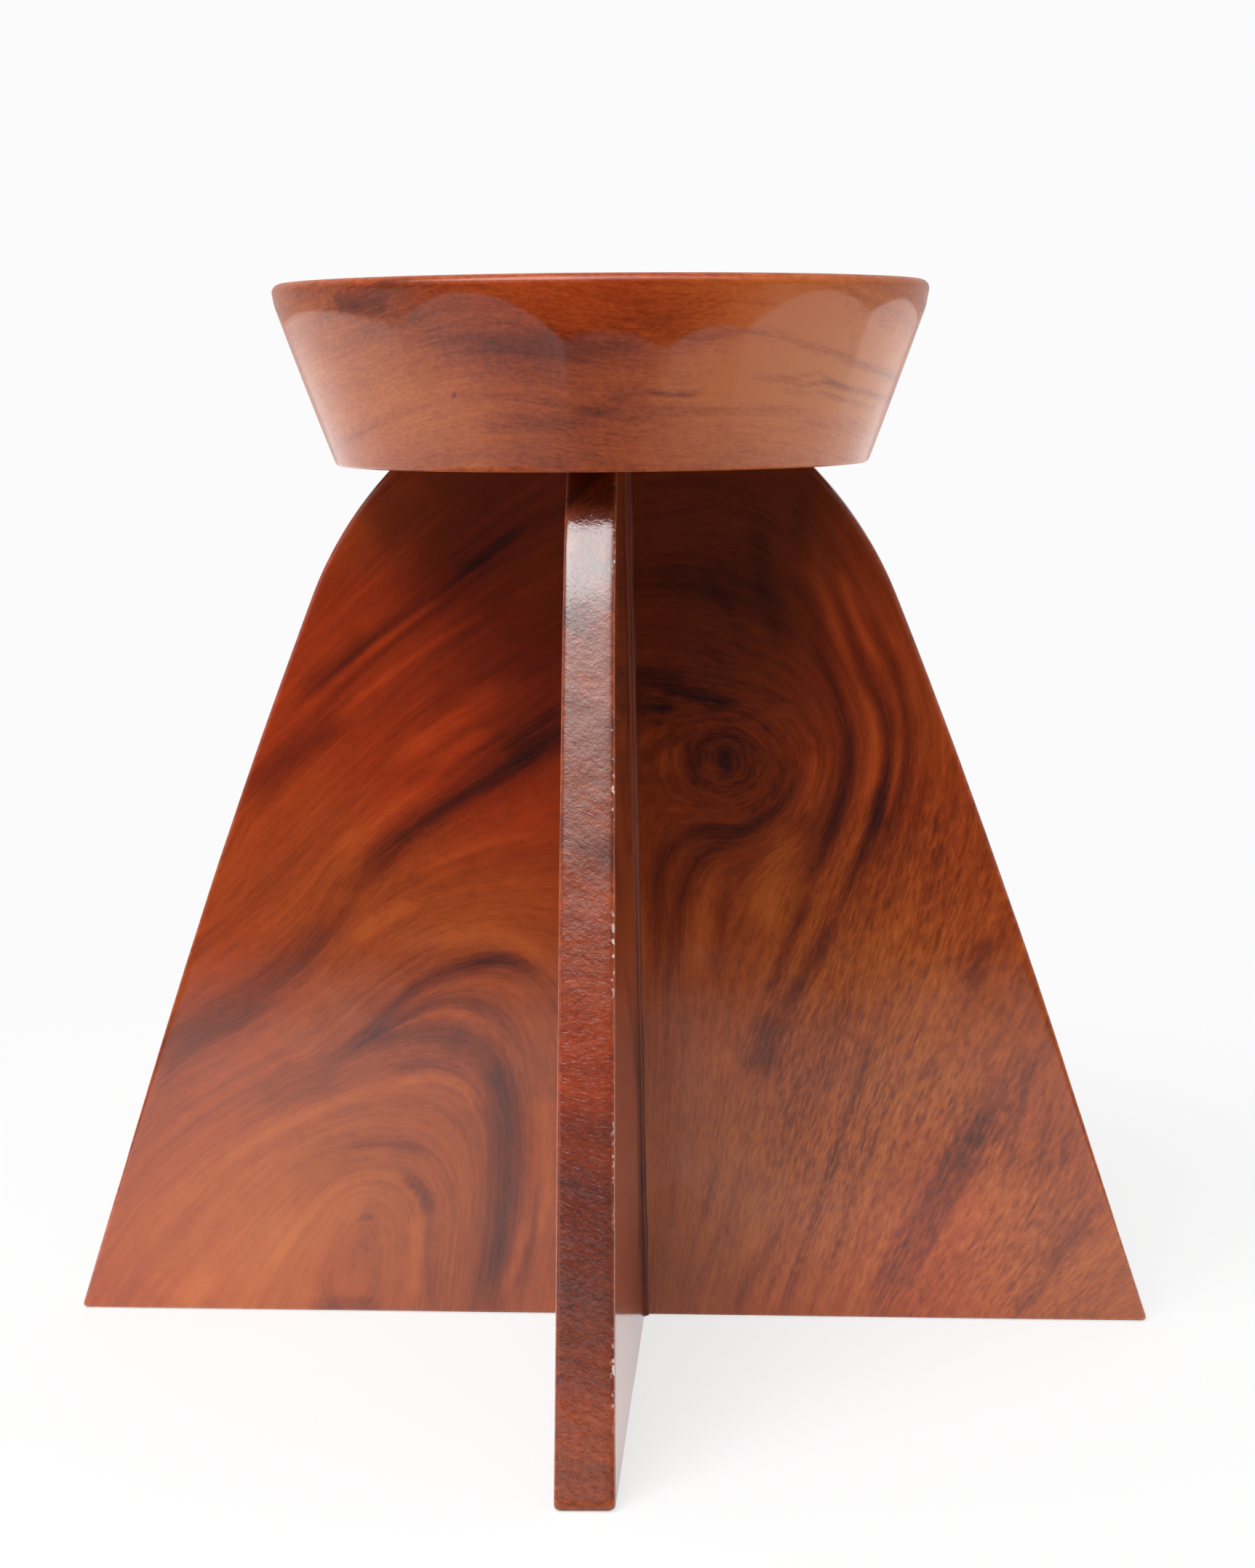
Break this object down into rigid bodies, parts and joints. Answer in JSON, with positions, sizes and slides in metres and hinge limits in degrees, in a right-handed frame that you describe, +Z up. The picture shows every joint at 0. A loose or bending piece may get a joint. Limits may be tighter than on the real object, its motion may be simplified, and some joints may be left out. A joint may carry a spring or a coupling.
{
  "type": "stool",
  "caption": "Low wooden stool: a round dished seat with a flared side on crossed tapering planks that halve into each other.",
  "frame": {"origin": "on the floor, under the middle of the base", "axes": "+Z up through the seat, +X along one plank, +Y along the other"},
  "size_m": [0.46, 0.4602, 0.438],
  "materials": {
    "seat_wood": "satin varnish over orange-brown hardwood",
    "plank_wood": "gloss varnish over figured red-brown hardwood",
    "dowel_wood": "bare round dowel, glued in"
  },
  "bodies": {
    "root": {"seat": "seat_wood", "plank_across": "plank_wood", "plank_along": "plank_wood", "seat_dowels": "dowel_wood"}
  },
  "joints": []
}
